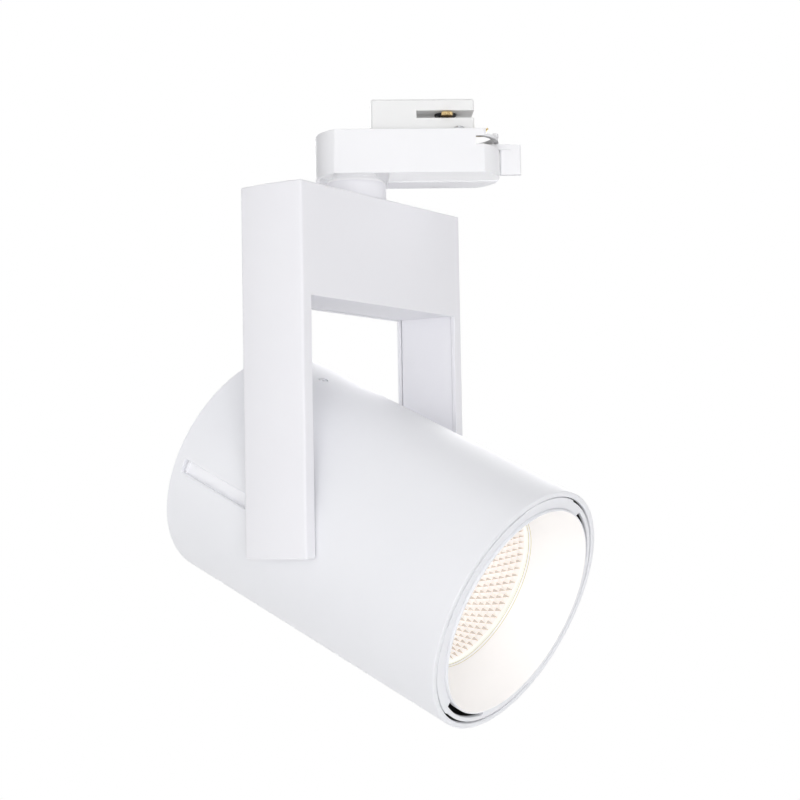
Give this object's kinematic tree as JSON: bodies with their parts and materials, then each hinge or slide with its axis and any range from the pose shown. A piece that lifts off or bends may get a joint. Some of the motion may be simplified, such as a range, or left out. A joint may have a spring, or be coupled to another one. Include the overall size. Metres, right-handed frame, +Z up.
{
  "type": "track spotlight",
  "caption": "Cylindrical LED spotlight in a fork bracket that swivels under a plug-in track adapter, with a recessed anti-glare cone and faceted reflector",
  "frame": {"origin": "Where the swivel axis meets the adapter's seating face, under the track", "axes": "+Z up into the track, +X along the track towards the locking lever, +Y across the track away from the viewer"},
  "size_m": [0.1536, 0.1441, 0.2263],
  "materials": {
    "white_powder_coat": "fine matt white powder coat",
    "white_plastic": "satin white moulded plastic",
    "reflective_white": "smooth reflective white paint",
    "reflector_silver": "metallised facets",
    "clear_glass": "clear, faint green edge",
    "brass": "plain brass contacts",
    "zinc_steel": "zinc-plated steel",
    "bare_aluminium": "bare extruded aluminium",
    "dark_plastic": "black moulded plastic",
    "led_ceramic": "white LED substrate",
    "led_phosphor": "yellow phosphor, lit warm white"
  },
  "bodies": {
    "adapter": {"adapter_housing": "white_plastic", "adapter_top_plate": "white_plastic", "plate_screw_1": "zinc_steel", "plate_screw_2": "zinc_steel", "track_insert": "white_plastic", "earth_contact": "brass", "terminal_block": "white_plastic", "terminal_screw_1": "zinc_steel", "terminal_screw_2": "zinc_steel", "terminal_screw_3": "zinc_steel", "friction_washer": "dark_plastic", "stop_pin": "zinc_steel"},
    "lever": {"lever": "white_plastic", "lever_screw": "zinc_steel", "contact_rotor": "dark_plastic", "line_contact_blade": "brass", "neutral_contact_blade": "brass"},
    "bracket": {"swivel_collar": "white_powder_coat", "threaded_nipple": "zinc_steel", "stop_washer": "zinc_steel", "swivel_nut": "zinc_steel", "bracket_nut": "zinc_steel", "bracket_shell": "white_powder_coat", "bracket_cover": "white_powder_coat", "driver_case": "dark_plastic", "driver_lid": "dark_plastic", "driver_screw_left": "zinc_steel", "driver_screw_right": "zinc_steel", "pivot_bolt_left": "zinc_steel", "pivot_bolt_right": "zinc_steel", "spring_washer_left": "zinc_steel", "spring_washer_right": "zinc_steel", "slip_washer_left": "dark_plastic", "slip_washer_right": "dark_plastic"},
    "carriage": {"slide_block_left": "zinc_steel", "slide_block_right": "zinc_steel"},
    "head": {"head_tube": "white_powder_coat", "grub_screw": "zinc_steel", "rear_cap": "white_powder_coat", "cap_screw_1": "zinc_steel", "cap_screw_2": "zinc_steel", "cap_screw_3": "zinc_steel", "guide_rail_left": "white_powder_coat", "guide_rail_right": "white_powder_coat", "heat_sink": "bare_aluminium", "led_mount_plate": "bare_aluminium", "led_board": "led_ceramic", "led_emitter": "led_phosphor", "led_holder": "white_plastic", "holder_screw_1": "zinc_steel", "holder_screw_2": "zinc_steel", "reflector": "reflector_silver", "protective_glass": "clear_glass", "cone_seal": "dark_plastic", "anti_glare_cone": "reflective_white", "trim_ring": "white_powder_coat"}
  },
  "joints": [
    {"name": "lever_turn", "type": "hinge", "parent": "adapter", "child": "lever", "pos_m": [0.0339, 0, 0], "axis": [0, 0, -1], "range_deg": [0, 45]},
    {"name": "pan", "type": "hinge", "parent": "adapter", "child": "bracket", "pos_m": [0, 0, -0.0245], "axis": [0, 0, 1], "range_deg": [-223.2, 116.8]},
    {"name": "tilt", "type": "hinge", "parent": "bracket", "child": "carriage", "pos_m": [0, 0, -0.1424], "axis": [0.599, 0.8007, 0], "range_deg": [-25.4, 64.6]},
    {"name": "head_slide", "type": "slide", "parent": "carriage", "child": "head", "axis": [0.7233, -0.5411, -0.4289], "range_m": [0, 0.042]}
  ]
}
